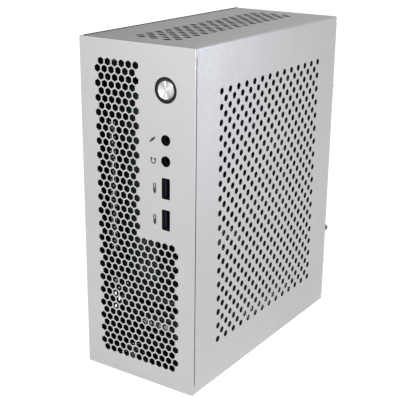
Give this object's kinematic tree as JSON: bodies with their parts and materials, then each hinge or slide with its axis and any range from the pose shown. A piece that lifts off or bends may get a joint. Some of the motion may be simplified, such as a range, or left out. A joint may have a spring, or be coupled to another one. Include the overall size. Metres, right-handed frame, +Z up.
{
  "type": "desktop computer tower",
  "caption": "Compact upright desktop computer in a bent aluminium case with perforated front, sides and top, a front power button and ports, and a removable cover.",
  "frame": {"origin": "on the ground under the feet, under the centre of the whole object's box (the rear thumbscrew is part of that box)", "axes": "+Z up, -Y out of the perforated front face, +X towards the side with the power button and the removable cover"},
  "size_m": [0.089, 0.1956, 0.232],
  "materials": {
    "case_aluminium": "fine bead-blasted, clear anodised",
    "bare_aluminium": "mill finish, lightly brushed",
    "rubber_feet": "matt",
    "screw_steel": "zinc plated",
    "knob_steel": "knurled, dark nickel",
    "psu_steel": "galvanised sheet",
    "cap_metal": "spun face",
    "plated_steel": "nickel plated",
    "black_plastic": "moulded, fine texture",
    "smoky_plastic": "translucent smoke grey, unlit",
    "blue_plastic": "moulded",
    "white_plastic": "moulded",
    "circuit_board": "solder mask over glass fibre",
    "chip_black": "moulded chip packages on a dark board",
    "cable_sleeve": "braided sleeve over wires"
  },
  "bodies": {
    "case": {"chassis": "case_aluminium", "front_panel": "case_aluminium", "front_frame": "bare_aluminium", "rear_panel": "case_aluminium", "foot_1": "rubber_feet", "foot_2": "rubber_feet", "foot_3": "rubber_feet", "foot_4": "rubber_feet", "cover_screw_upper": "screw_steel", "cover_screw_lower": "screw_steel", "cover_thumbscrew": "knob_steel", "power_button_bezel": "black_plastic", "power_light_ring": "smoky_plastic", "power_button_spring": "screw_steel", "power_switch_body": "black_plastic", "front_io_board": "circuit_board", "mic_jack": "black_plastic", "headphone_jack": "black_plastic", "usb_shell_upper": "plated_steel", "usb_shell_lower": "plated_steel", "usb_tongue_upper": "blue_plastic", "usb_tongue_lower": "blue_plastic", "motherboard": "circuit_board", "standoff_1": "bare_aluminium", "standoff_2": "bare_aluminium", "standoff_3": "bare_aluminium", "standoff_4": "bare_aluminium", "io_shield": "plated_steel", "rear_usb_stack": "plated_steel", "rear_video_ports": "plated_steel", "rear_lan_stack": "plated_steel", "rear_audio_jacks": "black_plastic", "cpu_socket": "black_plastic", "cpu": "plated_steel", "cpu_heatsink": "bare_aluminium", "cpu_fan_frame": "black_plastic", "ram_slot_1": "white_plastic", "ram_module_1": "chip_black", "ram_slot_2": "white_plastic", "ram_module_2": "chip_black", "m2_drive": "circuit_board", "chipset_heatsink": "bare_aluminium", "expansion_slot": "black_plastic", "board_power_plug": "white_plastic", "psu_base": "psu_steel", "psu_lid": "psu_steel", "psu_board": "circuit_board", "psu_inlet": "black_plastic", "psu_switch_frame": "black_plastic", "psu_fan_frame": "black_plastic", "board_power_cable": "cable_sleeve", "front_usb_cable": "cable_sleeve", "power_switch_lead": "cable_sleeve"},
    "cover": {"cover": "case_aluminium"},
    "power_button": {"power_button_cap": "cap_metal"},
    "cpu_fan": {"cpu_fan_rotor": "black_plastic"},
    "psu_fan": {"psu_fan_rotor": "black_plastic"},
    "psu_rocker": {"psu_rocker": "black_plastic"},
    "ram_latch_1": {"ram_latch_1": "white_plastic"},
    "ram_latch_2": {"ram_latch_2": "white_plastic"}
  },
  "joints": [
    {"name": "cover_slide", "type": "slide", "parent": "case", "child": "cover", "axis": [1, 0, 0], "range_m": [0, 0.1]},
    {"name": "power_button_press", "type": "slide", "parent": "case", "child": "power_button", "axis": [0, 1, 0], "range_m": [0, 0.0012], "stiffness_N_per_m": 1500, "springref_m": -0.0013, "deforming": ["power_button_spring"]},
    {"name": "cpu_fan_spin", "type": "hinge", "parent": "case", "child": "cpu_fan", "pos_m": [0.0046, 0.00725, 0.14], "axis": [1, 0, 0], "continuous": true},
    {"name": "psu_fan_spin", "type": "hinge", "parent": "case", "child": "psu_fan", "pos_m": [0.017, 0.07695, 0.02525], "axis": [0, 1, 0], "continuous": true},
    {"name": "psu_rocker_tilt", "type": "hinge", "parent": "case", "child": "psu_rocker", "pos_m": [-0.011, 0.08585, 0.02525], "axis": [1, 0, 0], "range_deg": [0, 18]},
    {"name": "ram_latch_1_open", "type": "hinge", "parent": "case", "child": "ram_latch_1", "pos_m": [-0.0306, -0.07475, 0.2003], "axis": [0, -1, 0], "range_deg": [0, 30]},
    {"name": "ram_latch_2_open", "type": "hinge", "parent": "case", "child": "ram_latch_2", "pos_m": [-0.0306, -0.06475, 0.2003], "axis": [0, -1, 0], "range_deg": [0, 30]}
  ]
}
